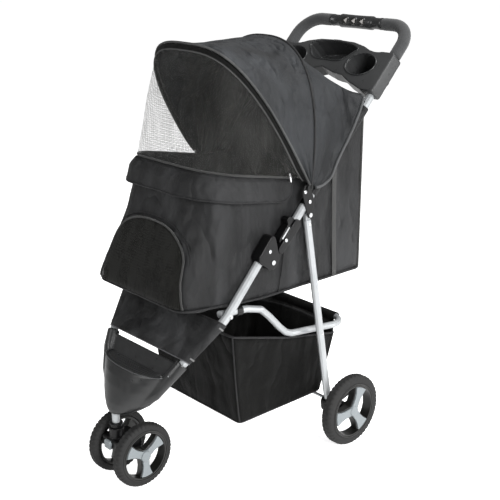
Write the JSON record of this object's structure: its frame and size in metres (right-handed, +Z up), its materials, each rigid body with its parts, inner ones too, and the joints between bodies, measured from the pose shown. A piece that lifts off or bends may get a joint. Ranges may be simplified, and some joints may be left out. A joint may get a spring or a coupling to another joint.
{
  "type": "pet stroller",
  "caption": "Three-wheeled folding pet stroller with a fabric cabin, folding canopy with mesh front, cup tray, under-seat basket and swivelling front wheel pair.",
  "frame": {"origin": "on the floor, under the middle of the object's box", "axes": "+Z up, +Y back towards the handle, +X to the left of a person who pushes it"},
  "size_m": [0.4756, 0.7967, 0.9716],
  "materials": {
    "silver_tube": "silver powder coat",
    "black_plastic": "fine moulded texture",
    "grey_plastic": "satin moulded",
    "foam": "closed-cell foam",
    "fabric": "woven polyester",
    "mesh": "open knitted mesh",
    "mat_fabric": "padded polyester",
    "tyre": "moulded tread",
    "pale_trim": "satin",
    "steel": "zinc plated",
    "board": "hollow-core board"
  },
  "bodies": {
    "rear_frame": {"rear_leg_left": "silver_tube", "rear_leg_right": "silver_tube", "axle_shoe_left": "black_plastic", "axle_shoe_right": "black_plastic", "rear_axle": "steel"},
    "brake_left": {"brake_pedal_left": "black_plastic"},
    "brake_right": {"brake_pedal_right": "black_plastic"},
    "rear_wheel_left": {"rear_wheel_left_tyre": "tyre", "rear_wheel_left_rim": "black_plastic", "rear_wheel_left_trim": "pale_trim"},
    "rear_wheel_right": {"rear_wheel_right_tyre": "tyre", "rear_wheel_right_rim": "black_plastic", "rear_wheel_right_trim": "pale_trim"},
    "handle": {"handle_tube": "silver_tube", "foam_grip_left": "foam", "foam_grip_right": "foam", "centre_grip": "grey_plastic", "parent_tray": "grey_plastic", "leg_bracket_left": "black_plastic", "leg_bracket_right": "black_plastic", "leg_pivot_pin_left": "steel", "leg_pivot_pin_right": "steel", "hinge_casing_left": "black_plastic", "hinge_casing_right": "black_plastic", "canopy_rear": "fabric"},
    "slider_left": {"lock_slider_left": "black_plastic"},
    "slider_right": {"lock_slider_right": "black_plastic"},
    "hood_mid": {"canopy_hoop_mid": "steel", "canopy_front": "fabric"},
    "hood_front": {"canopy_hoop_front": "steel", "canopy_mesh": "mesh"},
    "front_frame": {"front_leg_left": "silver_tube", "front_leg_right": "silver_tube", "hinge_housing_left": "black_plastic", "hinge_housing_right": "black_plastic", "fold_pin_left": "steel", "fold_pin_right": "steel", "footrest_shell": "black_plastic", "footrest_tread": "black_plastic", "caster_stem": "silver_tube", "calf_panel": "fabric", "cabin": "fabric", "cabin_floor_board": "board", "cabin_mat": "mat_fabric"},
    "seat_link": {"seat_tube": "silver_tube", "seat_clip_left": "black_plastic", "seat_clip_right": "black_plastic", "link_spacer_left": "steel", "link_spacer_right": "steel", "basket": "fabric"},
    "caster": {"caster_fork": "black_plastic", "caster_axle": "steel"},
    "swivel_lock": {"swivel_lock": "pale_trim"},
    "front_wheel_left": {"front_wheel_left_tyre": "tyre", "front_wheel_left_rim": "black_plastic", "front_wheel_left_trim": "pale_trim"},
    "front_wheel_right": {"front_wheel_right_tyre": "tyre", "front_wheel_right_rim": "black_plastic", "front_wheel_right_trim": "pale_trim"}
  },
  "joints": [
    {"name": "frame_fold", "type": "hinge", "parent": "handle", "child": "front_frame", "pos_m": [0, -0.0632, 0.4915], "axis": [1, 0, 0], "range_deg": [0, 120], "deforming": ["cabin", "basket", "calf_panel"]},
    {"name": "rear_leg_fold", "type": "hinge", "parent": "rear_frame", "child": "handle", "pos_m": [0, 0.0478, 0.5755], "axis": [-1, 0, 0], "range_deg": [0, 90]},
    {"name": "seat_link_fold", "type": "hinge", "parent": "front_frame", "child": "seat_link", "pos_m": [0, -0.178, 0.395], "axis": [-1, 0, 0], "range_deg": [0, 90]},
    {"name": "hood_fold", "type": "hinge", "parent": "handle", "child": "hood_mid", "pos_m": [0, 0.04, 0.64], "axis": [-1, 0, 0], "range_deg": [0, 30], "deforming": ["canopy_rear", "canopy_front", "canopy_mesh"]},
    {"name": "hood_front_fold", "type": "hinge", "parent": "hood_mid", "child": "hood_front", "pos_m": [0, 0.04, 0.64], "axis": [-1, 0, 0], "range_deg": [0, 34]},
    {"name": "lock_slide_left", "type": "slide", "parent": "handle", "child": "slider_left", "axis": [0, 0.6896, 0.7242], "range_m": [0, 0.01], "stiffness_N_per_m": 300, "springref_m": -0.006},
    {"name": "lock_slide_right", "type": "slide", "parent": "handle", "child": "slider_right", "axis": [0, 0.6896, 0.7242], "range_m": [0, 0.01], "stiffness_N_per_m": 300, "springref_m": -0.006},
    {"name": "brake_press_left", "type": "hinge", "parent": "rear_frame", "child": "brake_left", "pos_m": [0.16, 0.152, 0.0864], "axis": [-1, 0, 0], "range_deg": [0, 20]},
    {"name": "brake_press_right", "type": "hinge", "parent": "rear_frame", "child": "brake_right", "pos_m": [-0.16, 0.152, 0.0864], "axis": [-1, 0, 0], "range_deg": [0, 20]},
    {"name": "rear_wheel_spin_left", "type": "hinge", "parent": "rear_frame", "child": "rear_wheel_left", "pos_m": [0.2225, 0.152, 0.0864], "axis": [1, 0, 0], "continuous": true},
    {"name": "rear_wheel_spin_right", "type": "hinge", "parent": "rear_frame", "child": "rear_wheel_right", "pos_m": [-0.2225, 0.152, 0.0864], "axis": [1, 0, 0], "continuous": true},
    {"name": "caster_swivel", "type": "hinge", "parent": "front_frame", "child": "caster", "pos_m": [0, -0.3585, 0.15], "axis": [0, 0, 1], "continuous": true},
    {"name": "swivel_lock_slide", "type": "slide", "parent": "caster", "child": "swivel_lock", "axis": [0, 0, 1], "range_m": [0, 0.006]},
    {"name": "front_wheel_spin_left", "type": "hinge", "parent": "caster", "child": "front_wheel_left", "pos_m": [0.0462, -0.3245, 0.0734], "axis": [1, 0, 0], "continuous": true},
    {"name": "front_wheel_spin_right", "type": "hinge", "parent": "caster", "child": "front_wheel_right", "pos_m": [-0.0462, -0.3245, 0.0734], "axis": [1, 0, 0], "continuous": true}
  ],
  "couplings": [
    {"joint": "rear_leg_fold", "follows": "frame_fold", "ratio": 0.6587},
    {"joint": "seat_link_fold", "follows": "frame_fold", "ratio": 0.6104},
    {"joint": "hood_front_fold", "follows": "hood_fold", "ratio": 1.06}
  ]
}
